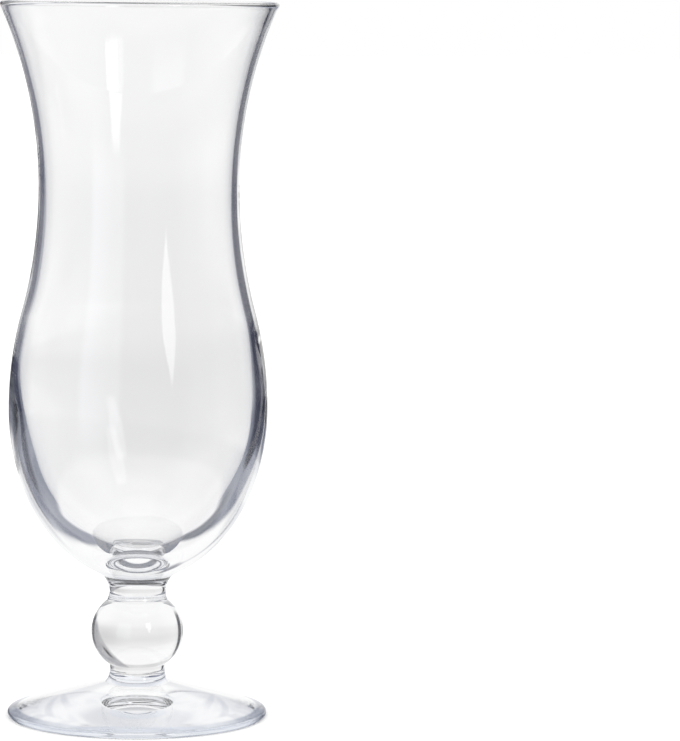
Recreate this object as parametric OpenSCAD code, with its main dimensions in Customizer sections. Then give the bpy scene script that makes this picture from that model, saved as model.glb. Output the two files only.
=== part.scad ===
// Hurricane glass: a tulip bowl on a ball-knopped stem and a round foot.
// The pieces are turned about the Z axis and stacked from the table up, each
// seated on the flat joint of the piece below it, as hot glass is built up.
// All sizes are in millimetres.

/* [Foot] */
// Diameter of the foot
foot_d = 76.4; // [64:0.2:92]
// Thickness of the foot at its rounded edge
foot_edge_h = 1.9; // [1.2:0.1:3.5]
// How far the rounded edge bulges past the underside
foot_edge_bulge = 0.7; // [0.3:0.1:1.5]
// Height of the foot at the seat of the lower collar
foot_h = 9.9; // [7:0.1:16]
// How far the top of the foot bows up above a straight cone
foot_crown = 0.2; // [0:0.1:1]
// Width of the flat ring that the foot stands on
foot_ring_w = 7; // [4:0.5:12]
// Depth of the shallow hollow under the foot
foot_hollow_h = 1.2; // [0.4:0.1:2.5]

/* [Lower collar] */
// Diameter of the joint between the foot and the lower collar
foot_joint_d = 18.8; // [15:0.1:24]
// Diameter of the lower collar at its neck
lower_neck_d = 16.2; // [12:0.1:20]
// Height of that neck above the foot
lower_neck_h = 3.6; // [2:0.1:4.5]
// Height of the lower collar
lower_collar_h = 5.3; // [4.8:0.1:9]

/* [Ball knop] */
// Diameter of the ball
ball_d = 27.2; // [23:0.1:34]
// Height of the ball before its two ends are cut flat
ball_full_h = 24.6; // [21:0.1:34]
// Diameter of the joint between the lower collar and the ball
lower_joint_d = 16.4; // [13:0.1:20]
// Diameter of the joint between the ball and the upper collar
upper_joint_d = 18.2; // [14:0.1:21]

/* [Upper collar] */
// Diameter of the upper collar at its neck
upper_neck_d = 16.6; // [12:0.1:20]
// Height of that neck above the ball
upper_neck_h = 2.8; // [2:0.1:5]
// Height of the upper collar
upper_collar_h = 7.5; // [6:0.1:12]
// Diameter of the joint between the upper collar and the bowl
bowl_joint_d = 20.4; // [16:0.1:26]

/* [Bowl outside] */
// Height of the bowl from its joint to the rim
bowl_h = 168.4; // [155:0.1:185]
// Diameter over the rim
rim_d = 81.2; // [68:0.2:95]
// Thickness of the rounded lip
lip_t = 2.1; // [1.4:0.1:3]
// Diameter at the waist
waist_d = 58.7; // [50:0.1:64]
// Height of the waist above the bowl's joint
waist_h = 114.4; // [105:0.1:125]
// Diameter at the belly
belly_d = 76; // [68:0.2:90]
// Height of the belly above the bowl's joint
belly_h = 49.4; // [40:0.1:60]
// Diameter where the round cup runs out into a short cone above the joint
cup_end_d = 29; // [27:0.5:40]
// Height above the belly where the outline turns from bulging to hollow
turn_h = 28.5; // [15:0.5:40]

/* [Bowl inside] */
// Thickness of the wall at the waist
waist_wall = 2.3; // [1.5:0.1:3.5]
// How far the inner waist lies below the outer one
inner_waist_drop = 4; // [0:0.5:8]
// Thickness of the wall at the belly
belly_wall = 3.8; // [2:0.1:6]
// How far the inner belly lies above the outer one
inner_belly_rise = 6.5; // [0:0.5:10]
// Height above the inner belly where the inner wall turns hollow
inner_turn_h = 21; // [12:0.5:32]
// Thickness of the base on the axis
base_t = 7; // [5:0.1:14]

/* [Hidden] */
glass_colour = [0.87, 0.92, 0.95, 0.45];
$fn = 144;

// Steps along each kind of curve
lip_steps = 10;
edge_steps = 10;
neck_steps = 8;
wall_steps = 16;

// Heights of the joints above the table
ball_r = ball_d / 2;
lower_joint_z = foot_h + lower_collar_h;
ball_z = lower_joint_z + ball_cut_h(lower_joint_d);
upper_joint_z = ball_z + ball_cut_h(upper_joint_d);
bowl_joint_z = upper_joint_z + upper_collar_h;
rim_z = bowl_joint_z + bowl_h;

// Radii and heights that the bowl's two walls pass through
waist = [waist_d / 2, bowl_joint_z + waist_h];
belly = [belly_d / 2, bowl_joint_z + belly_h];
inner_waist = waist - [waist_wall, inner_waist_drop];
inner_belly = belly + [-belly_wall, inner_belly_rise];
floor_z = bowl_joint_z + base_t;

// The lip is a bead centred on the end of the wall, which leans outwards there
lip_r = lip_t / 2;
lip = [rim_d / 2 - lip_r, rim_z - lip_r];
lip_lean = asin((lip[1] - waist[1]) / arc_radius(lip - waist + [lip_r, 0]));
lip_inner = lip - lip_r * [cos(lip_lean), -sin(lip_lean)];

// Height from the ball's middle to an end cut flat at the given joint diameter
function ball_cut_h(joint_d) = ball_full_h / 2 * sqrt(1 - pow(joint_d / ball_d, 2));

// Even steps from 0 to 1
function steps(count) = [for (i = [0:count]) i / count];

// Radius of an arc that starts upright and ends at the given offset
function arc_radius(offset) = (pow(offset[0], 2) + pow(offset[1], 2)) / (2 * offset[0]);

// Arc that leaves the point upright and runs on for the given rise
function upright_arc(start, radius, rise) = [
    for (t = steps(wall_steps))
        start + radius * [1 - cos(asin(t * rise / radius)), t * rise / radius]
];

// Arc that passes upright through the waist and bends out to the given point
function flare(low, high) = upright_arc(low, arc_radius(high - low), high[1] - low[1]);

// Two arcs that meet in a tangent and join an upright belly to an upright waist
function shoulder(low, high, turn) =
    let (
        both_r = arc_radius([low[0] - high[0], high[1] - low[1]]),
        share = turn / (high[1] - low[1])
    ) concat(
        upright_arc(low, -both_r * share, turn),
        reverse(upright_arc(high, both_r * (1 - share), low[1] + turn - high[1]))
    );

// Stretch of an ellipse from a belly inwards and down to the given radius
function cup(side, depth, end_r) = [
    for (t = steps(wall_steps))
        [side[0] * cos(t * acos(end_r / side[0])), side[1] - depth * sin(t * acos(end_r / side[0]))]
];

// Depth of a cup whose tangent at its end radius reaches the joint at the given drop
function cup_depth(side_r, end_r, joint_r, drop) =
    let (
        angle = acos(end_r / side_r),
        run = (end_r - joint_r) / side_r
    ) drop / (sin(angle) + run / tan(angle));

// Bead from one angle to another about a centre
function bead(centre, half_w, half_h, from, to, count) = [
    for (t = steps(count))
        centre + [half_w * cos(from + t * (to - from)), half_h * sin(from + t * (to - from))]
];

// Curve from a collar's neck, where it is upright, out to one of its ends
function neck_half(neck, end) = [
    for (t = steps(neck_steps))
        neck + [(end[0] - neck[0]) * t * t, (end[1] - neck[1]) * t]
];

// Side of a collar, which narrows to its neck and widens again
function neck_side(low, neck, high) = concat(reverse(neck_half(neck, low)), neck_half(neck, high));

// Straight slope between two points, bowed up by the crown in its middle
function crowned(from, to, crown) = [
    for (t = steps(wall_steps))
        from + t * (to - from) + [0, 4 * crown * t * (1 - t)]
];

function reverse(points) = [for (i = [len(points) - 1:-1:0]) points[i]];

// The outline without points that repeat the one before
function clean(points) = [
    for (i = [0:len(points) - 1])
        if (i == 0 || norm(points[i] - points[i - 1]) > 0.001) points[i]
];

module turned(outline) {
    color(glass_colour)
    rotate_extrude()
    polygon(clean(outline));
}

// Round foot: flat ring to stand on, shallow hollow inside it, rounded edge
module foot() {
    edge_r = foot_d / 2 - foot_edge_bulge;
    edge_mid = [edge_r, foot_edge_h / 2];
    hollow_r = edge_r - foot_ring_w;
    turned(concat(
        [for (t = steps(wall_steps)) [hollow_r * t, foot_hollow_h * (1 - t * t)]],
        bead(edge_mid, foot_edge_bulge, foot_edge_h / 2, -90, 90, edge_steps),
        crowned([edge_r, foot_edge_h], [foot_joint_d / 2, foot_h], foot_crown),
        [[0, foot_h]]
    ));
}

// Short neck between the foot and the ball
module lower_collar() {
    turned(concat(
        [[0, foot_h]],
        neck_side(
            [foot_joint_d / 2, foot_h],
            [lower_neck_d / 2, foot_h + lower_neck_h],
            [lower_joint_d / 2, lower_joint_z]
        ),
        [[0, lower_joint_z]]
    ));
}

// Flattened solid ball, cut flat at both joints
module ball_knop() {
    low_angle = -acos(lower_joint_d / ball_d);
    high_angle = acos(upper_joint_d / ball_d);
    turned(concat(
        [[0, lower_joint_z]],
        bead([0, ball_z], ball_r, ball_full_h / 2, low_angle, high_angle, 2 * wall_steps),
        [[0, upper_joint_z]]
    ));
}

// Waisted neck that flares up into the bottom of the bowl
module upper_collar() {
    turned(concat(
        [[0, upper_joint_z]],
        neck_side(
            [upper_joint_d / 2, upper_joint_z],
            [upper_neck_d / 2, upper_joint_z + upper_neck_h],
            [bowl_joint_d / 2, bowl_joint_z]
        ),
        [[0, bowl_joint_z]]
    ));
}

// Tulip bowl: round cup, full belly, drawn-in waist and a flared mouth
module bowl() {
    depth = cup_depth(belly_d / 2, cup_end_d / 2, bowl_joint_d / 2, belly_h);
    flare_end = lip + lip_r * [cos(lip_lean), -sin(lip_lean)];
    turned(concat(
        [[0, bowl_joint_z], [bowl_joint_d / 2, bowl_joint_z]],
        reverse(cup(belly, depth, cup_end_d / 2)),
        shoulder(belly, waist, turn_h),
        flare(waist, flare_end),
        bead(lip, lip_r, lip_r, -lip_lean, 180 - lip_lean, lip_steps),
        reverse(flare(inner_waist, lip_inner)),
        reverse(shoulder(inner_belly, inner_waist, inner_turn_h)),
        cup(inner_belly, inner_belly[1] - floor_z, 0)
    ));
}

foot();
lower_collar();
ball_knop();
upper_collar();
bowl();
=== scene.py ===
# %% [markdown]
# # A hurricane glass
# A hurricane glass is a tall tulip of clear glass on a short stem with a ball in it.
# Everything you see on it is light that the glass has bent, so this lesson spends its
# time on two things: surfaces that are as true as the real ones, and a studio that
# gives the glass something bright and something dark to bend.
# The CAD model gives the frame: every piece below stands where its CAD node stands.

# %% Load the frame
import math
from functools import reduce

import bpy
import numpy as np
from mathutils import Matrix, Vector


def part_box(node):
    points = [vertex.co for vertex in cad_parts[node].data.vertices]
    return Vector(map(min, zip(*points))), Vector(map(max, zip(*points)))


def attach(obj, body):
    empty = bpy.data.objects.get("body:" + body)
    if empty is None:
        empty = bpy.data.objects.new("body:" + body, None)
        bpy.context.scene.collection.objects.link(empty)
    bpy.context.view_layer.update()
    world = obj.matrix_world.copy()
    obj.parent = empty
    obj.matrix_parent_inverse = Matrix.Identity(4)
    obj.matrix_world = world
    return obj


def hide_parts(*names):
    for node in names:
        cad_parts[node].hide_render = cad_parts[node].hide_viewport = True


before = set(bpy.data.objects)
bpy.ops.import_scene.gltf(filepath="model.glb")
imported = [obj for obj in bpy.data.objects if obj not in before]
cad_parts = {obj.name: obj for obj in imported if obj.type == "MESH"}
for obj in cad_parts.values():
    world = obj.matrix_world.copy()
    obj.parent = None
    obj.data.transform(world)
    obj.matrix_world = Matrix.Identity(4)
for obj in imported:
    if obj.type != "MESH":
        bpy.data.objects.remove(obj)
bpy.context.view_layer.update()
scene = bpy.context.scene

MM = 0.001
print("CAD nodes:", sorted(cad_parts))


# %% [markdown]
# ## The camera
# The photograph was taken from far off, a little above the rim, so the mouth is almost a
# line and the foot is a flat ellipse. The glass stands left of the middle. Turning the
# camera about its own upright axis, after the tilt, moves the glass sideways in the
# picture and keeps its axis upright, and a slight roll follows the lean of the photograph.
# A lens shift would move the glass too, but it would stay in every other view.

# %% Camera
FRAME_W, FRAME_H = 680, 741
SENSOR = 36.0
CAMERA_AWAY = 1150 * MM
CAMERA_UP = 222 * MM
FOCAL_PX = 3938.6
TILT = math.radians(5.936)
AXIS_X_PX = 138.5
ROLL = math.radians(0.23)

camera_data = bpy.data.cameras.new("camera")
camera_data.sensor_width = SENSOR
camera_data.lens = FOCAL_PX / FRAME_H * SENSOR
camera = bpy.data.objects.new("camera", camera_data)
scene.collection.objects.link(camera)
scene.camera = camera

side_turn = math.atan((FRAME_W / 2 - AXIS_X_PX) / FOCAL_PX)
camera.matrix_world = (
    Matrix.Translation((0, -CAMERA_AWAY, CAMERA_UP))
    @ Matrix.Rotation(math.pi / 2 - TILT, 4, "X")
    @ Matrix.Rotation(-side_turn, 4, "Y")
    @ Matrix.Rotation(ROLL, 4, "Z")
)
print("lens", round(camera_data.lens, 1), "mm, turned", round(math.degrees(side_turn), 2), "degrees")


# %% [markdown]
# ## Outlines
# Each piece of the glass is turned about one axis, so its whole shape is an outline: a row
# of points, each a radius and a height. A Bezier curve with a Screw modifier could do this,
# but arrays let every curve have its formula. The outlines are made of a few kinds of
# curve, which meet in tangents where the real wall runs on smoothly.

# %% Outline curves
LONG_CURVE = 48
SHORT_CURVE = 24
SAME_POINT = 1e-7


def steps(count):
    """Even steps from 0 to 1, as a column that multiplies points."""
    return np.linspace(0, 1, count)[:, None]


def upright_arc(start, radius, rise):
    """Arc that leaves start upright and climbs by rise: r grows as R - sqrt(R^2 - z^2)."""
    climb = steps(LONG_CURVE) * rise / radius
    return np.array(start) + radius * np.hstack([1 - np.sqrt(1 - climb**2), climb])


def arc_radius(across, up):
    """Radius of an arc that starts upright and ends across and up from its start."""
    return (across**2 + up**2) / (2 * across)


def flare(low, high):
    """Arc that is upright at low and bends out to high."""
    across, up = np.subtract(high, low)
    return upright_arc(low, arc_radius(across, up), up)


def shoulder(low, high, turn):
    """Two arcs from an upright belly to an upright waist, in a tangent at height turn."""
    across, up = np.subtract(high, low)
    whole = arc_radius(-across, up)
    share = turn / up
    lower = upright_arc(low, -whole * share, turn)
    upper = upright_arc(high, whole * (1 - share), turn - up)
    return np.vstack([lower, upper[-2::-1]])


def oval(centre, half_w, half_h, from_deg, to_deg, count):
    """Stretch of an ellipse about centre, between two angles."""
    angle = np.radians(from_deg + (to_deg - from_deg) * steps(count))
    return np.array(centre) + np.hstack([half_w * np.cos(angle), half_h * np.sin(angle)])


def neck_half(neck, end):
    """Parabola that is upright at neck and opens out to end."""
    t = steps(SHORT_CURVE)
    return np.array(neck) + np.hstack([(end[0] - neck[0]) * t**2, (end[1] - neck[1]) * t])


def chain(*curves):
    """The curves as one outline, without the points that repeat the one before."""
    points = np.vstack([np.atleast_2d(c) for c in curves])
    far = np.linalg.norm(np.diff(points, axis=0), axis=1) > SAME_POINT
    return points[np.r_[True, far]]


print("an arc 5 mm out over 40 mm up has a radius of", arc_radius(5, 40), "mm")


# %% [markdown]
# ## From outline to mesh
# The outline is carried round the axis. The grid of points is one array, rows along the
# outline and columns round the axis, and the faces are the grid's squares, counted out with
# whole arrays. Where the outline starts or ends on the axis, the row shrinks to one point
# and its squares to a fan. The flat ends where two pieces of hot glass ran into one another
# get a second material, because no light bends there.

# %% Turning an outline
ROUND_STEPS = 256
CREASE = math.radians(24)


def turned(name, outline, seams=(), swell=None, shade=None):
    """Closed surface of revolution: x = r cos a, y = r sin a, z, over outline and angle.

    The outline starts and ends on the axis. seams holds the numbers of the outline's
    stretches that are fused joints. swell, if given, takes angle, radius and height as
    whole arrays and returns how far each point moves outwards. shade, if given, takes
    radius and height and returns how strongly the rim's tint and its painted edge shade show there.
    """
    angle = np.linspace(0, 2 * np.pi, ROUND_STEPS, endpoint=False)[None, :]
    ring_r = outline[1:-1, :1]
    ring_z = outline[1:-1, 1:]
    reach = ring_r + (0 if swell is None else swell(angle, ring_r, ring_z))
    rings = np.stack(np.broadcast_arrays(reach * np.cos(angle), reach * np.sin(angle), ring_z), -1)
    ends = np.array([[0, 0, outline[0, 1]], [0, 0, outline[-1, 1]]])
    points = np.vstack([rings.reshape(-1, 3), ends])

    rows = len(ring_r)
    here = np.arange(ROUND_STEPS)
    there = (here + 1) % ROUND_STEPS
    row = np.arange(rows - 1)[:, None] * ROUND_STEPS
    quads = np.stack(
        [row + here, row + there, row + there + ROUND_STEPS, row + here + ROUND_STEPS], -1
    ).reshape(-1, 4)
    start, end = rows * ROUND_STEPS, rows * ROUND_STEPS + 1
    last = (rows - 1) * ROUND_STEPS
    first_fan = np.stack([np.full(ROUND_STEPS, start), there, here], -1)
    last_fan = np.stack([np.full(ROUND_STEPS, end), last + here, last + there], -1)

    mesh = bpy.data.meshes.new(name)
    mesh.from_pydata(points.tolist(), [], quads.tolist() + first_fan.tolist() + last_fan.tolist())
    stretch = np.r_[
        np.repeat(np.arange(1, rows), ROUND_STEPS),
        np.zeros(ROUND_STEPS, int),
        np.full(ROUND_STEPS, rows),
    ]
    seam = np.isin(stretch, np.array(seams) % (rows + 1))
    mesh.polygons.foreach_set("material_index", seam.astype(np.int32))
    mesh.polygons.foreach_set("use_smooth", np.ones(len(stretch), bool))
    mesh.set_sharp_from_angle(angle=CREASE)
    edge = np.zeros(len(points)) if shade is None else shade(np.hypot(*points[:, :2].T), points[:, 2])
    edge_shade = mesh.attributes.new("edge_shade", "FLOAT", "POINT")
    edge_shade.data.foreach_set("value", edge.astype(np.float32))
    mesh.update()
    piece = bpy.data.objects.new(name, mesh)
    scene.collection.objects.link(piece)
    print(name, len(points), "points,", len(stretch), "faces")
    return piece


print(ROUND_STEPS, "columns round the axis, crisp past", round(math.degrees(CREASE)), "degrees")


# %% [markdown]
# ## Where the pieces meet
# A stem glass is built up hot, piece on piece, and each joint is a flat round face. The CAD
# boxes give the heights of the joints, the rim and the table, and the widest radius of each
# piece. They could be typed in again, but read from the frame the looks can't drift away
# from the model. Only the two joints of the ball are narrower than any box shows.

# %% Heights and radii from the frame
LOWER_JOINT_R = 8.2 * MM
UPPER_JOINT_R = 9.1 * MM


def low_z(node):
    """Lowest height of a CAD node."""
    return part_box(node)[0][2]


def high_z(node):
    """Highest height of a CAD node."""
    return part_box(node)[1][2]


def wide_r(node):
    """Widest radius of a CAD node."""
    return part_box(node)[1][0]


foot_joint = np.array([wide_r("lower_collar"), low_z("lower_collar")])
lower_joint = np.array([LOWER_JOINT_R, low_z("ball_knop")])
upper_joint = np.array([UPPER_JOINT_R, high_z("ball_knop")])
bowl_joint = np.array([wide_r("upper_collar"), low_z("bowl")])
rim_r, rim_z = wide_r("bowl"), high_z("bowl")
joints = (foot_joint, lower_joint, upper_joint, bowl_joint)
print("joints at", [round(float(joint[1]) / MM, 1) for joint in joints], "mm")


# %% [markdown]
# ## The foot
# The foot is a thick disc that rises to the stem. It stands on a flat ring, with a shallow
# hollow inside, and its edge is a soft bead where the fire rounded it. A bevelled cylinder
# would come close, but the slope and the hollow bend the light that you see in the foot, so
# both are in the outline. The foot's rim carries an attribute for the glass material's tint and its
# painted shade.

# %% Foot
FOOT_EDGE_H = 1.9 * MM
FOOT_BULGE = 0.7 * MM
FOOT_RING_W = 7 * MM
FOOT_HOLLOW = 1.2 * MM
FOOT_CROWN = 0.2 * MM
FOOT_RIM_W = 3.2 * MM


def foot_outline():
    """Hollow parabola, flat ring, half-oval edge, then a slope with a slight crown."""
    edge_r = wide_r("foot") - FOOT_BULGE
    t = steps(LONG_CURVE)
    hollow = np.hstack([(edge_r - FOOT_RING_W) * t, FOOT_HOLLOW * (1 - t**2)])
    edge = oval((edge_r, FOOT_EDGE_H / 2), FOOT_BULGE, FOOT_EDGE_H / 2, -90, 90, SHORT_CURVE)
    rise = np.array([edge_r, FOOT_EDGE_H]) * (1 - t) + foot_joint * t
    rise[:, 1:] += 4 * FOOT_CROWN * t * (1 - t)
    return chain(hollow, edge, rise, (0, foot_joint[1]))


# This mask carries both the rim's blue-grey tint and the painted shade where the rim is seen edge-on.
def foot_shade(radius, height):
    """1 on the rim above the table, falling to 0 towards the stem over the width of the bead."""
    return np.clip((radius - (wide_r("foot") - FOOT_RIM_W)) / FOOT_BULGE, 0, 1) * (height > 0)


foot = turned("glass_foot", foot_outline(), seams=[-1], shade=foot_shade)


# %% [markdown]
# ## The stem
# Two short necks hold the ball between them. Each neck is a parabola that is upright at its
# narrowest height, and the ball is an oval cut flat where the necks join it. A sphere and
# two cylinders would leave hard corners, and light shows every corner in clear glass.

# %% Collars and ball
LOWER_NECK = np.array([8.1 * MM, foot_joint[1] + 3.6 * MM])
UPPER_NECK = np.array([8.3 * MM, upper_joint[1] + 2.8 * MM])
BALL_FULL_H = 24.6 * MM
BALL_CURVE = 128
BOTH_ENDS = [0, -1]


def collar_outline(low, neck, high):
    """Flat end, parabola in to the neck, parabola out again, flat end."""
    side = chain(neck_half(neck, low)[::-1], neck_half(neck, high))
    return chain((0, low[1]), side, (0, high[1]))


def ball_outline():
    """Oval between the angles at which it has the radii of its two joints."""
    ball_r = wide_r("ball_knop")
    down, up = (math.degrees(math.acos(j[0] / ball_r)) for j in (lower_joint, upper_joint))
    middle = lower_joint[1] + BALL_FULL_H / 2 * math.sin(math.radians(down))
    side = oval((0, middle), ball_r, BALL_FULL_H / 2, -down, up, BALL_CURVE)
    return chain((0, lower_joint[1]), side, (0, upper_joint[1]))


lower_side = collar_outline(foot_joint, LOWER_NECK, lower_joint)
upper_side = collar_outline(upper_joint, UPPER_NECK, bowl_joint)
lower_collar = turned("glass_lower_collar", lower_side, seams=BOTH_ENDS)
ball = turned("glass_ball_knop", ball_outline(), seams=BOTH_ENDS)
upper_collar = turned("glass_upper_collar", upper_side, seams=BOTH_ENDS)


# %% [markdown]
# ## The bowl's outline
# One outline runs up the outside, over the rounded lip and down the inside to the floor of
# the cup. The wall is thin at the waist and thick in the cup, and those thicknesses decide
# how wide the dark bands at the sides look. A Solidify modifier gives a wall of one
# thickness, so the inside has its own curves here.

# %% The bowl's outline
WAIST = np.array([29.35 * MM, bowl_joint[1] + 114.4 * MM])
BELLY = np.array([38 * MM, bowl_joint[1] + 49.4 * MM])
TURN_H = 28.5 * MM
CUP_END_R = 14.5 * MM
CUP_CURVE = 72
LIP_R = 1.05 * MM
INNER_WAIST = WAIST - np.array([2.3 * MM, 4 * MM])
INNER_BELLY = BELLY + np.array([-3.8 * MM, 6.5 * MM])
INNER_TURN_H = 21 * MM
FLOOR_Z = bowl_joint[1] + 7 * MM


def bowl_outline():
    """Cup, belly, shoulder, waist, flare and lip outside, then the same back down inside."""
    end = math.acos(CUP_END_R / BELLY[0])
    run = (CUP_END_R - bowl_joint[0]) / BELLY[0]
    depth = (BELLY[1] - bowl_joint[1]) / (math.sin(end) + run / math.tan(end))
    cup = oval((0, BELLY[1]), BELLY[0], depth, -math.degrees(end), 0, CUP_CURVE)

    lip = np.array([rim_r - LIP_R, rim_z - LIP_R])
    across, up = lip - WAIST
    lean = math.asin(up / arc_radius(across + LIP_R, up))
    outwards = LIP_R * np.array([math.cos(lean), -math.sin(lean)])
    bead = oval(lip, LIP_R, LIP_R, -math.degrees(lean), 180 - math.degrees(lean), SHORT_CURVE)

    inner_cup = oval((0, INNER_BELLY[1]), INNER_BELLY[0], INNER_BELLY[1] - FLOOR_Z, 0, -90, CUP_CURVE)
    return chain(
        (0, bowl_joint[1]),
        bowl_joint,
        cup,
        shoulder(BELLY, WAIST, TURN_H),
        flare(WAIST, lip + outwards),
        bead,
        flare(INNER_WAIST, lip - outwards)[::-1],
        shoulder(INNER_BELLY, INNER_WAIST, INNER_TURN_H)[::-1],
        inner_cup,
    )


bowl_side = bowl_outline()
print("bowl outline:", len(bowl_side), "points")


# %% [markdown]
# ## The bowl's uneven inside
# The outside of a glass is shaped by a mould or a tool, but the inside sets freely and is
# never quite round. Here it leans a few tenths of a millimetre to one side, by a different
# amount at each height, which makes the left band differ from the right one. Noise could do
# it too, but bell curves at chosen heights can follow the photograph.

# %% Bowl
LIP_FADE = 6 * MM
FLOOR_FADE = 10 * MM
LEAN = 0.08 * MM
LEAN_BELLS = (
    (0.48 * MM, 104 * MM, 14 * MM),
    (-0.28 * MM, 79 * MM, 12 * MM),
    (0.25 * MM, 192 * MM, 20 * MM),
)


def inner_part(height):
    """1 on the inner wall, 0 on the outer wall, fading to 0 at the lip and the floor."""
    number = np.arange(len(bowl_side))[1:-1, None]
    inside = number > np.argmax(bowl_side[:, 1])
    below_lip = np.clip((rim_z - height) / LIP_FADE, 0, 1)
    above_floor = np.clip((height - FLOOR_Z) / FLOOR_FADE, 0, 1)
    return inside * below_lip * above_floor


def uneven_inside(angle, radius, height):
    """Shift along X: cos of the angle times a sum of bells, e to the minus (distance / width) squared."""
    bells = sum(size * np.exp(-(((height - at) / width) ** 2)) for size, at, width in LEAN_BELLS)
    return -(LEAN + bells) * np.cos(angle) * inner_part(height)


bowl = turned("glass_bowl", bowl_side, seams=[0], swell=uneven_inside)


# %% [markdown]
# ## Clear glass
# The real finish is fire-polished soda-lime glass: smooth, colourless, and never quite flat,
# because hot glass flows as it sets. A Principled shader with full transmission bends the
# light and mirrors a little of it. A faint noise in a Bump node gives the slow waves that
# make a reflection run unevenly. Moving the points themselves would do it too, but the
# outline has to stay true to the CAD model.
# The rim of the foot is seen through its whole width, where glass looks blue-grey. That tint
# follows the attribute of the mesh. A volume could absorb the light instead, but a tint on the
# surface needs fewer samples. Where the rim turns away from the eye, a painted shade darkens
# it further, in place of the dark edges that the studio's light would draw.

# %% Clear glass
GLASS_IOR = 1.5
CLEAR = (0.995, 0.995, 0.995, 1)
RIM_TINT = (0.84, 0.88, 0.95, 1)
EDGE_PAINTED_SHADE = (0.2, 0.22, 0.28, 1)
PAINTED_SHADE_STARTS, PAINTED_SHADE_FULL = 0.52, 0.72
WAVES_PER_M = 45.0
WAVE_DETAIL = 1.0
WAVE_DEPTH = 0.1 * MM
MIX_MASK, MIX_A, MIX_B, MIX_OUT = 0, 6, 7, 2


def clear_glass():
    """Polished wavy glass, blue-grey on the rim of the foot, with painted shade where the rim is seen
    edge-on.
    """
    material = bpy.data.materials.new("clear_glass")
    material.use_nodes = True
    nodes, links = material.node_tree.nodes, material.node_tree.links
    shader = nodes["Principled BSDF"]
    shader.inputs["Roughness"].default_value = 0
    shader.inputs["IOR"].default_value = GLASS_IOR
    shader.inputs["Transmission Weight"].default_value = 1

    # Painted shade: a dark blue-grey is mixed into the colour where the rim turns edge-on to the eye.
    facing = nodes.new("ShaderNodeLayerWeight")
    edge = nodes.new("ShaderNodeMapRange")
    edge.interpolation_type = "SMOOTHSTEP"
    edge.inputs["From Min"].default_value = PAINTED_SHADE_STARTS
    edge.inputs["From Max"].default_value = PAINTED_SHADE_FULL
    links.new(facing.outputs["Facing"], edge.inputs["Value"])
    where = nodes.new("ShaderNodeAttribute")
    where.attribute_name = "edge_shade"
    painted_shade_amount = nodes.new("ShaderNodeMath")
    painted_shade_amount.operation = "MULTIPLY"
    links.new(edge.outputs["Result"], painted_shade_amount.inputs[0])
    links.new(where.outputs["Fac"], painted_shade_amount.inputs[1])

    rim = nodes.new("ShaderNodeMix")
    rim.data_type = "RGBA"
    rim.inputs[MIX_A].default_value = CLEAR
    rim.inputs[MIX_B].default_value = RIM_TINT
    links.new(where.outputs["Fac"], rim.inputs[MIX_MASK])
    tint = nodes.new("ShaderNodeMix")
    tint.data_type = "RGBA"
    tint.inputs[MIX_B].default_value = EDGE_PAINTED_SHADE
    links.new(rim.outputs[MIX_OUT], tint.inputs[MIX_A])
    links.new(painted_shade_amount.outputs["Value"], tint.inputs[MIX_MASK])
    links.new(tint.outputs[MIX_OUT], shader.inputs["Base Color"])

    place = nodes.new("ShaderNodeTexCoord")
    waves = nodes.new("ShaderNodeTexNoise")
    waves.inputs["Scale"].default_value = WAVES_PER_M
    waves.inputs["Detail"].default_value = WAVE_DETAIL
    links.new(place.outputs["Object"], waves.inputs["Vector"])
    ripple = nodes.new("ShaderNodeBump")
    ripple.inputs["Strength"].default_value = 1
    ripple.inputs["Distance"].default_value = WAVE_DEPTH
    links.new(waves.outputs["Fac"], ripple.inputs["Height"])
    links.new(ripple.outputs["Normal"], shader.inputs["Normal"])
    return material


glass_material = clear_glass()
print(glass_material.name, len(glass_material.node_tree.nodes), "nodes")
print("waves about", round(1 / WAVES_PER_M / MM), "mm long")


# %% [markdown]
# ## Fused joints
# On the real glass the hot pieces ran into one another, and nothing is left to see of the
# joint. The pieces could share one mesh, but then the glass would no longer come apart into
# the parts it was made from. So the flat ends stay, with a material that lets light through.

# %% Fused joints, and each piece in its place
def fused_seam():
    """Joint inside the glass, where light goes straight on."""
    material = bpy.data.materials.new("fused_seam")
    material.use_nodes = True
    shader = material.node_tree.nodes["Principled BSDF"]
    shader.inputs["Transmission Weight"].default_value = 1
    shader.inputs["Alpha"].default_value = 0
    return material


seam_material = fused_seam()
for piece, node in (
    (foot, "foot"),
    (lower_collar, "lower_collar"),
    (ball, "ball_knop"),
    (upper_collar, "upper_collar"),
    (bowl, "bowl"),
):
    piece.data.materials.append(glass_material)
    piece.data.materials.append(seam_material)
    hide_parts(node)
    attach(piece, "root")
    print(piece.name, "takes the place of", node)


# %% [markdown]
# ## The floor
# The photograph has a plain white ground, and the glass casts no shadow on it that you could
# see. A wide pale square is enough. Rays that the glass has bent or mirrored don't see it:
# they see the studio below, whose cards reach down past the table as they do in a photograph
# that was taken on a light table.

# %% Floor
FLOOR_HALF = 8.0
FLOOR_WHITE = (0.9, 0.9, 0.9, 1)

floor_mesh = bpy.data.meshes.new("floor")
corner = np.array([[-1, -1, 0], [1, -1, 0], [1, 1, 0], [-1, 1, 0]]) * FLOOR_HALF
floor_mesh.from_pydata(corner.tolist(), [], [(0, 1, 2, 3)])
floor = bpy.data.objects.new("floor", floor_mesh)
scene.collection.objects.link(floor)
floor_material = bpy.data.materials.new("pale_floor")
floor_material.use_nodes = True
floor_finish = floor_material.node_tree.nodes["Principled BSDF"].inputs
floor_finish["Base Color"].default_value = FLOOR_WHITE
floor_finish["Roughness"].default_value = 1
floor_finish["Specular IOR Level"].default_value = 0
floor_mesh.materials.append(floor_material)
floor.visible_transmission = False
floor.visible_glossy = False
print("floor", 2 * FLOOR_HALF, "m wide")


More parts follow.
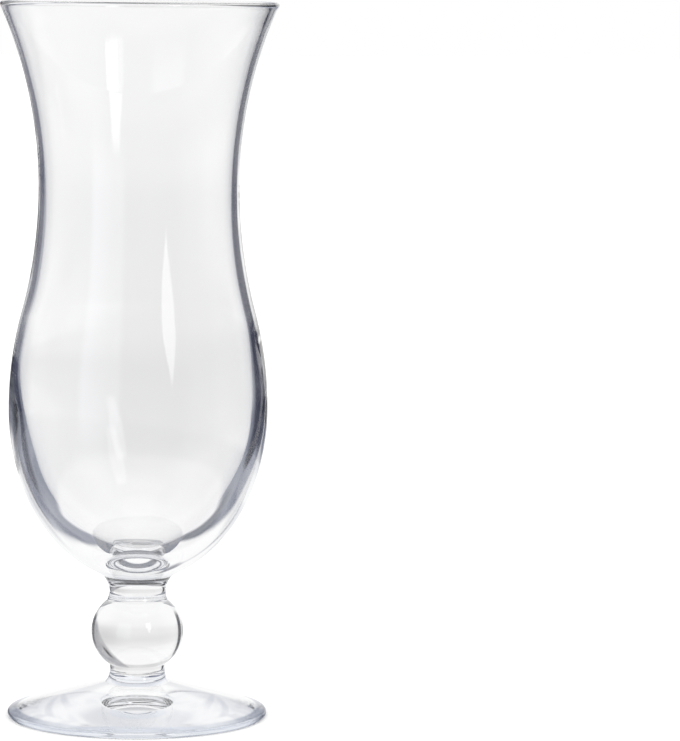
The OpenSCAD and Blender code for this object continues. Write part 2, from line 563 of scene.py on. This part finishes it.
# %% [markdown]
# ## The studio
# Glass is photographed in front of a bright backdrop, with dark cards beside it: the thick
# wall bends the light of the cards into its edges, and that draws the outline. Lamps and
# cards could be real objects, but glass multiplies every one of them. Here the studio is a
# World shader: a rule that gives the light for each direction in which a ray leaves. A card
# is a patch of directions with soft edges. The helpers below build such rules from nodes.

# %% Helpers for the studio's nodes
world = bpy.data.worlds.new("studio")
scene.world = world
world.use_nodes = True
tree = world.node_tree


def add(kind, *values):
    """New node of the studio; each value is set on, or linked to, the input in its place."""
    made = tree.nodes.new(kind)
    for socket, value in zip(made.inputs, values):
        if isinstance(value, bpy.types.NodeSocket):
            tree.links.new(value, socket)
        else:
            socket.default_value = value
    return made


def maths(operation, a, b=0.0):
    """One operation on one or two numbers."""
    made = add("ShaderNodeMath", a, b)
    made.operation = operation
    return made.outputs[0]


def both(a, b):
    """Mask that is 1 where both masks are 1."""
    return maths("MULTIPLY", a, b)


def either(a, b):
    """Mask that is 1 where one of the masks is 1."""
    return maths("MAXIMUM", a, b)


def more_than(value, count):
    """1 where value, a whole number, is more than count."""
    return maths("GREATER_THAN", value, count + 0.5)


def at_most(value, count):
    """1 where value, a whole number, is count or less."""
    return maths("LESS_THAN", value, count + 0.5)


def soft(value, start, end):
    """0 up to start, 1 from end on, a smooth step between."""
    made = add("ShaderNodeMapRange", value, start, end)
    made.interpolation_type = "SMOOTHSTEP"
    return made.outputs[0]


def between(value, low, high, edge):
    """1 between low and high, with soft edges."""
    return both(soft(value, low - edge, low + edge), soft(value, high + edge, high - edge))


def switch(mask, plain, other):
    """Number plain where mask is 0, other where it is 1."""
    return maths("ADD", maths("MULTIPLY", maths("SUBTRACT", other, plain), mask), plain)


def clipped(value, low, high):
    """How far value is past low, up to high."""
    return maths("SUBTRACT", maths("MINIMUM", maths("MAXIMUM", value, low), high), low)


def distance(value, middle):
    """How far value is from middle, on either side."""
    return maths("ABSOLUTE", maths("SUBTRACT", value, middle))


print("the world", world.name, "starts with", len(tree.nodes), "nodes")


# %% [markdown]
# Colours have helpers of their own. A ramp gives a grey that changes along one angle, such
# as a backdrop that darkens towards the table, and `card` hangs a card in front of a light.
# The greys and colours of the cards are shares of plain white, and lamps have more than 1.

# %% Helpers for the studio's colours
PALE = (1.0, 1.0, 1.0)
SOFT = (1.5, 1.5, 1.5)


def blend(mask, plain, other):
    """Colour plain where mask is 0, other where it is 1."""
    made = tree.nodes.new("ShaderNodeMix")
    made.data_type = "RGBA"
    for number, value in ((MIX_MASK, mask), (MIX_A, plain), (MIX_B, other)):
        if isinstance(value, bpy.types.NodeSocket):
            tree.links.new(value, made.inputs[number])
        else:
            made.inputs[number].default_value = (*value, 1)
    return made.outputs[MIX_OUT]


def card(light, colour, *masks):
    """The light, with a card of the given colour where all the masks are 1."""
    return blend(reduce(both, masks), light, colour)


def times(colour, factor):
    """The colour, brighter or darker."""
    made = add("ShaderNodeVectorMath", colour)
    made.operation = "SCALE"
    made.inputs["Scale"].default_value = factor
    return made.outputs[0]


def tinted(colour, tint):
    """The colour times a tint."""
    made = add("ShaderNodeVectorMath", colour, tint)
    made.operation = "MULTIPLY"
    return made.outputs[0]


def ramp(value, stops):
    """Grey level along value: stops are (value, level) pairs in order, eased between."""
    low, high = stops[0][0], stops[-1][0]
    made = add("ShaderNodeValToRGB", maths("DIVIDE", maths("SUBTRACT", value, low), high - low))
    made.color_ramp.interpolation = "EASE"
    spots = made.color_ramp.elements
    for place, level in stops[1:-1]:
        spots.new((place - low) / (high - low))
    for spot, (place, level) in zip(spots, stops):
        spot.color = (level, level, level, 1)
    return made.outputs[0]


print("plain white is", PALE, "and the floor's light", SOFT)


# %% [markdown]
# ## Directions and kinds of ray
# Directions are told in degrees. `elevation` is the height above the horizon, `back_side`
# the turn from straight behind the glass to the right, and `front_side` the turn from the
# camera's side to the right. `aside` and `in_front` are the same turns to either side.
# The Light Path node tells how a ray got here: how often it was bent (Transmission Depth)
# and mirrored (Glossy Depth). In a real studio all rays see the same cards. Nobody knows
# that studio, so here each kind of ray gets its own: rays through the stem, through the
# bowl, along the wall, trapped in thick glass, and thrown back off a surface. Each can then
# be set against the photograph without spoiling the others.

# %% Directions and kinds of ray
direction = add("ShaderNodeTexCoord").outputs["Generated"]
along = add("ShaderNodeSeparateXYZ", direction).outputs
elevation = maths("DEGREES", maths("ARCSINE", along[2]))
front_side = maths("DEGREES", maths("ARCTAN2", along[0], maths("MULTIPLY", along[1], -1.0)))
back_side = maths("DEGREES", maths("ARCTAN2", along[0], along[1]))
in_front = maths("ABSOLUTE", front_side)
aside = maths("ABSOLUTE", back_side)

paths = add("ShaderNodeLightPath").outputs
bends = paths["Transmission Depth"]
mirrors = paths["Glossy Depth"]
refracted = more_than(bends, 0)
through_bowl = more_than(bends, 3)
mirrored = more_than(mirrors, 0)
odd = more_than(maths("MODULO", mirrors, 2.0), 0)
off_surface = both(paths["Is Reflection Ray"], maths("SUBTRACT", 1.0, paths["Is Diffuse Ray"]))
print("directions and paths:", len(tree.nodes), "nodes")


# %% [markdown]
# ## Seen through the stem
# The ball is a lens that turns the backdrop over, up for down and right for left. A backdrop
# that is darkest near the horizon gives the ball its grey middle. A leaning card on the
# right, with a black crack in it and a black end, makes the dark rim at the ball's left, and
# a narrow card on the left makes the line at its right. The cards stay behind the glass.

# %% Backdrop behind the stem
behind = soft(aside, 115, 100)
stem_light = ramp(elevation, [
    (-45, 0.98), (-20, 0.975), (-15, 0.955), (-8, 0.86), (-1, 0.8), (4, 0.825), (10, 0.93),
    (16, 0.98), (30, 1.0), (33, 0.72), (38, 0.72), (41, 1.0), (46, 1.0),
])
shaded = both(soft(back_side, 2, 40), between(elevation, -12, 14, 8))
stem_light = card(stem_light, times(stem_light, 0.8), shaded, behind)
leaning = maths("ADD", back_side, maths("MULTIPLY", elevation, 0.8))
wedge = both(soft(leaning, 38, 45), between(elevation, -14, 40, 5))
stem_light = card(stem_light, (0.43, 0.43, 0.45), wedge, behind)
crack = both(between(leaning, 46.5, 52.5, 1.5), between(elevation, 13, 24, 5))
stem_light = card(stem_light, (0.04, 0.04, 0.045), crack)
black_end = both(soft(back_side, 58, 66), between(elevation, -22, 18, 5))
stem_light = card(stem_light, (0.02, 0.02, 0.025), black_end, behind)
narrow = both(between(back_side, -64, -52, 2), between(elevation, -26, 30, 5))
stem_light = card(stem_light, (0.05, 0.05, 0.06), narrow)
print("stem backdrop:", len(tree.nodes), "nodes")


# %% [markdown]
# ## Seen through the bowl
# Most rays go straight through both walls of the bowl. The backdrop is white at the height of
# the mouth, a little grey at the belly, where such a picture shows the horizon of the table,
# and white again below. It falls off to both sides.

# %% Backdrop behind the bowl
bowl_light = ramp(elevation, [
    (-60, 0.6), (-49, 0.62), (-44, 0.95), (-36, 1.01), (-24, 1.015), (-15, 0.95), (-12, 0.895),
    (-8.5, 0.875), (-6, 0.925), (-4, 1.0), (-1.5, 1.02), (2, 1.03),
])
bowl_light = card(bowl_light, times(bowl_light, 0.87), soft(back_side, 4, 24))
bowl_light = card(bowl_light, times(bowl_light, 0.92), soft(back_side, -6, -26))
print("bowl backdrop:", len(tree.nodes), "nodes")


# %% [markdown]
# ## Dark cards for the wall
# Near the sides a ray enters the thick wall, is mirrored once on its inner face and leaves
# again. Those rays draw the two dark bands of the belly. They look down past the table
# through a bright window straight behind the glass, which widens downwards, with a dark
# blue-grey card on each side of it. Towards the window the cards are lighter, and so are
# their lowest parts.

# %% Dark cards for the wall
WINDOW_MIDDLE = 2.5
WINDOW_HALF = 5.4
WINDOW_TOP = -18.0

drop = maths("SUBTRACT", WINDOW_TOP, elevation)
upper_slope = maths("MULTIPLY", clipped(drop, 0.0, 17.0), 0.75)
lower_slope = maths("MULTIPLY", clipped(drop, 17.0, 60.0), 0.3)
waist_sliver = maths("MULTIPLY", soft(elevation, -10, -6), 11.0)
window = maths("ADD", maths("ADD", upper_slope, lower_slope), maths("ADD", waist_sliver, WINDOW_HALF))
off_window = maths("SUBTRACT", distance(back_side, WINDOW_MIDDLE), window)

downwards = soft(elevation, -9, -15)
to_right = soft(back_side, -5, 5)
left_card = blend(downwards, (0.1, 0.105, 0.155), (0.055, 0.06, 0.1))
right_card = blend(downwards, (0.065, 0.068, 0.1), (0.025, 0.027, 0.047))
cards = blend(to_right, left_card, right_card)
cards = card(cards, (0.32, 0.34, 0.41), soft(off_window, 18, 14), soft(elevation, -16.5, -20))
lowest_cards = blend(to_right, (0.27, 0.285, 0.35), (0.15, 0.16, 0.2))
lower_cards = blend(soft(elevation, -30, -36), (0.29, 0.31, 0.37), lowest_cards)
cards = card(cards, lower_cards, soft(elevation, -23.5, -28))
print("wall cards:", len(tree.nodes), "nodes")


# %% [markdown]
# The inner edge of each band comes from farther to the sides of the studio, where the cards
# end in paler ones. Above the horizon, and straight down, the wall sees the pale room.

# %% Pale ends of the wall's cards
inner = either(soft(back_side, 36, 45), soft(back_side, -31, -38))
cards = card(cards, blend(downwards, (0.42, 0.44, 0.49), (0.25, 0.27, 0.33)), inner)
innermost = either(soft(back_side, 45, 50), soft(back_side, -40, -46))
cards = card(cards, (0.72, 0.73, 0.76), innermost, soft(elevation, -26, -22))
cards = card(cards, (0.9, 0.9, 0.92), soft(aside, 33, 39), soft(elevation, -36, -41))
wall_light = card(PALE, cards, soft(off_window, -2, 3), between(elevation, -56, 6, 6))
wall_light = card(wall_light, (0.55, 0.56, 0.58), soft(elevation, 49, 58))
print("wall cards and their ends:", len(tree.nodes), "nodes")


# %% [markdown]
# ## Light trapped in the thick glass
# In the foot and the collars a ray is mirrored several times before it gets out. Such light
# comes from everywhere, so it is pale, with a cloud of noise for the uneven sheen that the
# real foot has. Greyer cards hang behind the glass and at its sides, and a black one, low at
# the sides, is seen only by rays that were mirrored twice.

# %% Light trapped in the foot and the collars
CLOUD_SCALE = 3.0
CLOUD_DETAIL = 2.0

cloud = add("ShaderNodeTexNoise", direction)
cloud.inputs["Scale"].default_value = CLOUD_SCALE
cloud.inputs["Detail"].default_value = CLOUD_DETAIL
cloudy = soft(cloud.outputs["Fac"], 0.42, 0.72)
trapped_light = blend(cloudy, (0.94, 0.945, 0.955), (0.84, 0.855, 0.885))
high_behind = both(between(back_side, -8, 30, 12), between(elevation, 6, 32, 8))
trapped_light = card(trapped_light, (0.74, 0.755, 0.79), high_behind)
level_sides = both(between(aside, 50, 95, 8), between(elevation, -1, 17, 4))
trapped_light = card(trapped_light, (0.72, 0.74, 0.79), level_sides)
low_sides = both(between(elevation, -26, -2, 4), between(aside, 58, 98, 5))
trapped_light = card(trapped_light, (0.05, 0.05, 0.06), at_most(mirrors, 2), low_sides)
trapped_light = card(trapped_light, (0.4, 0.41, 0.45), soft(elevation, -42, -50), soft(aside, 60, 45))
print("trapped light:", len(tree.nodes), "nodes")


# %% [markdown]
# At the very edge of the belly a ray runs round inside the wall like sound in a whispering
# gallery, some twenty times from face to face. It comes out in a blue-grey that differs from
# left to right. Rays that come out upwards see the ceiling, which is dark for those that were
# mirrored often. Still longer paths are lost to the dark, apart from those that have run the
# whole length of the wall: they are pale, and draw the pale line along the lip.

# %% Light that runs round the wall
left_round = ramp(aside, [
    (93, 0.58), (103, 0.45), (110, 0.22), (124, 0.2), (136, 0.34), (155, 0.46), (172, 0.42),
])
left_round = card(left_round, times(left_round, 0.22), soft(elevation, 3, 11))
round_light = blend(soft(back_side, -1, 1), left_round, (0.38, 0.385, 0.4))
round_light = tinted(round_light, (0.94, 0.98, 1.12))
trapped_light = card(trapped_light, round_light, soft(mirrors, 16.5, 20.5))
ceiling = blend(more_than(mirrors, 8), (0.72, 0.73, 0.77), (0.04, 0.04, 0.045))
trapped_light = card(trapped_light, ceiling, soft(elevation, 38, 52))
trapped_light = card(trapped_light, (0.0, 0.0, 0.0), more_than(mirrors, 24), soft(aside, 125, 105))
trapped_light = card(trapped_light, (0.8, 0.8, 0.8), more_than(mirrors, 64))
print("light round the wall:", len(tree.nodes), "nodes")


# %% [markdown]
# ## Mirrored in the outer surface
# A window and a soft box stand in front, and the outer surface mirrors them: the window is
# the long spindle between waist and belly, and the box the broad pale streak on its left. The
# window is a strip that is widest at the top, cut off at both ends. Behind the glass the dark
# cards show once more, near the edges, where glass mirrors best.

# %% Lamps in front, mirrored in the outer surface
ROOM = (0.03, 0.03, 0.03)
WHITE = (0.9, 0.9, 0.9)
BOX = (1.1, 1.15, 1.27)
WINDOW = (3.3, 3.3, 3.35)
DARK_CARD = (0.05, 0.055, 0.085)

front = blend(either(soft(elevation, 46, 60), soft(elevation, -16, -30)), ROOM, WHITE)
front = card(front, BOX, between(front_side, -54, -17, 4), between(elevation, -12, 30, 10))
half_width = maths("MULTIPLY", soft(elevation, 1, 22), 6.5)
strip = soft(maths("SUBTRACT", distance(front_side, 30.0), half_width), 1, -1)
front = card(front, WINDOW, strip, between(elevation, 5, 34, 2))

right_side = switch(soft(elevation, -3, -5), soft(back_side, 25, 32), soft(back_side, 13, 20))
right_side = switch(soft(elevation, -10, -13), right_side, soft(back_side, 28, 36))
left_side = switch(soft(elevation, -7, -10), soft(back_side, -4, -15), soft(back_side, -19, -32))
side_cards = both(either(right_side, left_side), soft(aside, 72, 55))
backdrop = card(PALE, DARK_CARD, side_cards, between(elevation, -31, 8, 4))
backdrop = card(backdrop, (0.45, 0.47, 0.53), between(elevation, 11, 24, 4), soft(aside, 45, 30))
surface_light = blend(soft(in_front, 55, 110), front, backdrop)
print("outer surface:", len(tree.nodes), "nodes")


# %% [markdown]
# ## Mirrored inside the cup
# Rays that went into the bowl and were mirrored on the far inner wall bring back a window
# from in front, as the streak in the flare and the one in the belly. The bottom of the cup
# mirrors what lies below: its darkest corners are the small triangles beside the stem.

# %% Mirrored inside the cup
STRIP = (2.0, 2.0, 2.05)

inside_light = blend(soft(elevation, 46, 60), ROOM, WHITE)
level = between(elevation, -16, 6, 6)
left_inside = blend(level, (0.3, 0.3, 0.32), (0.5, 0.51, 0.54))
inside_light = card(inside_light, left_inside, soft(front_side, -44, -70))
inside_light = card(inside_light, (0.8, 0.82, 0.87), soft(front_side, 24, 60))
side_inside = blend(level, (0.4, 0.4, 0.41), (0.9, 0.9, 0.9))
inside_light = card(inside_light, side_inside, soft(in_front, 72, 100))
inside_light = card(inside_light, (0.95, 0.95, 0.97), soft(in_front, 130, 150))

blade_width = ramp(elevation, [(3, 4.0), (12, 5.5), (24, 8.0), (36, 7.5), (46, 3.5)])
blade_lean = maths("MULTIPLY", maths("SUBTRACT", elevation, 20.0), 0.1)
off_blade = distance(front_side, maths("SUBTRACT", 27.0, blade_lean))
blade = soft(maths("SUBTRACT", off_blade, blade_width), 2, -2)
inside_light = card(inside_light, STRIP, blade, between(elevation, 6, 39, 2))

inside_light = card(inside_light, (0.75, 0.76, 0.79), soft(elevation, -40, -44))
inside_light = card(inside_light, (0.2, 0.21, 0.25), soft(elevation, -49, -53))
corners = both(between(elevation, -64, -48, 3), between(aside, 40, 75, 6))
inside_light = card(inside_light, (0.06, 0.065, 0.09), corners)
print("inside of the cup:", len(tree.nodes), "nodes")


# %% [markdown]
# ## Each ray gets its light
# Now the kinds of ray are put together. Rays mirrored once see the wall's cards, and so do
# those mirrored three times that look down. Rays that no glass has bent bring the floor its
# light, soft and even, and where the camera looks past the glass it sees plain white.

# %% Each ray gets its light
looking_down = soft(elevation, -8, -14)
in_wall = both(both(odd, at_most(mirrors, 3)), either(at_most(mirrors, 1), looking_down))
light = blend(mirrored, stem_light, trapped_light)
light = blend(in_wall, light, wall_light)
light = blend(through_bowl, light, blend(mirrored, bowl_light, inside_light))
light = blend(refracted, SOFT, light)
light = blend(off_surface, light, surface_light)
light = blend(paths["Is Camera Ray"], light, PALE)
tree.links.new(light, tree.nodes["Background"].inputs["Color"])
print("studio:", len(tree.nodes), "nodes")


# %% [markdown]
# ## Settings for clear glass
# Light in a thick wall is mirrored many times, and a path that is cut short comes out black.
# So the number of bounces is far above Blender's own setting. The Standard view keeps the
# white ground white.

# %% Settings for clear glass
scene.view_settings.view_transform = "Standard"
scene.cycles.max_bounces = 260
scene.cycles.transmission_bounces = 48
scene.cycles.glossy_bounces = 220
scene.cycles.transparent_max_bounces = 48
print("bounces:", scene.cycles.max_bounces)
